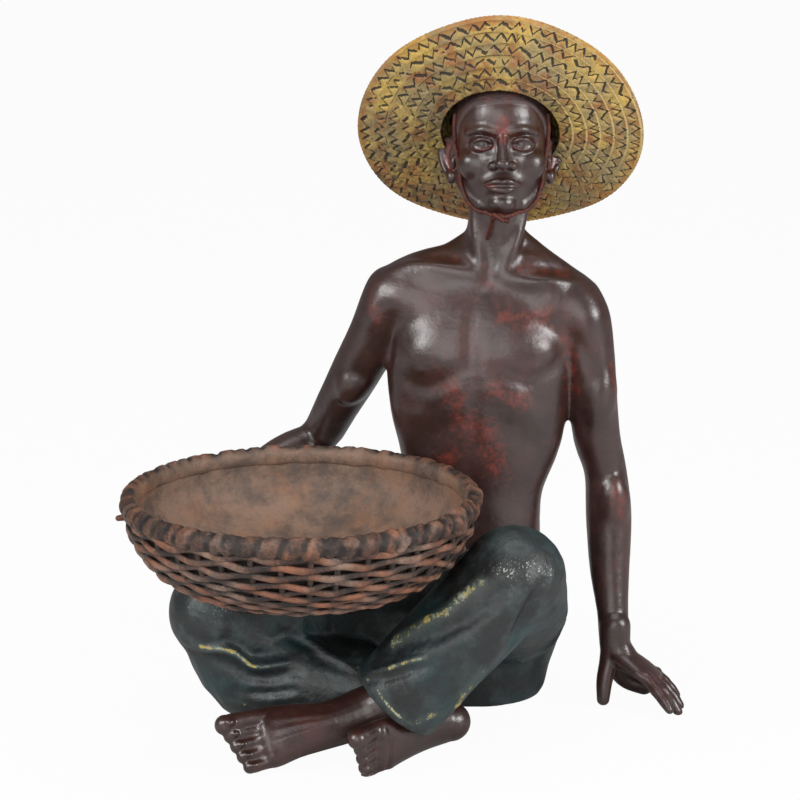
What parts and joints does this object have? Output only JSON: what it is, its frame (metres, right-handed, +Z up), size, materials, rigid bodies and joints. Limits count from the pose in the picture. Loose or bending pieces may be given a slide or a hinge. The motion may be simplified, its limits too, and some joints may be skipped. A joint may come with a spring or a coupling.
{
  "type": "peasant figurine",
  "caption": "Painted cast figurine of a seated man in a straw hat and rolled trousers, leaning on one hand and holding a round woven basket on his crossed legs as a small tray.",
  "frame": {"origin": "on the table under the middle of the seat, on the underside of the seat's felt pad", "axes": "+Z up, the object's longest side; the figure's chest faces -Y and its left side is +X"},
  "size_m": [0.2348, 0.1825, 0.2983],
  "materials": {
    "skin": "semi-gloss dark brown paint over cast resin, rubbed through to red-brown in the recesses",
    "trousers": "semi-gloss near-black green paint, cream dry-brushed on the fold edges",
    "straw": "satin straw-yellow paint with dark wash in the plaiting",
    "cord": "satin red-brown paint",
    "wicker": "satin dark brown paint, copper dry-brushed on the weavers",
    "felt": "green wool felt",
    "dowel": "plain steel pin"
  },
  "bodies": {
    "root": {"torso": "skin", "head": "skin", "left_arm": "skin", "right_arm": "skin", "left_foot": "skin", "right_foot": "skin", "trousers": "trousers", "hat": "straw", "chin_cord": "cord", "basket_bowl": "wicker", "basket_rim": "wicker", "seat_pad": "felt", "leg_pad": "felt", "neck_dowel": "dowel", "left_shoulder_dowel": "dowel", "right_shoulder_dowel": "dowel", "waist_dowel": "dowel", "hat_dowel": "dowel", "basket_dowel": "dowel"}
  },
  "joints": []
}
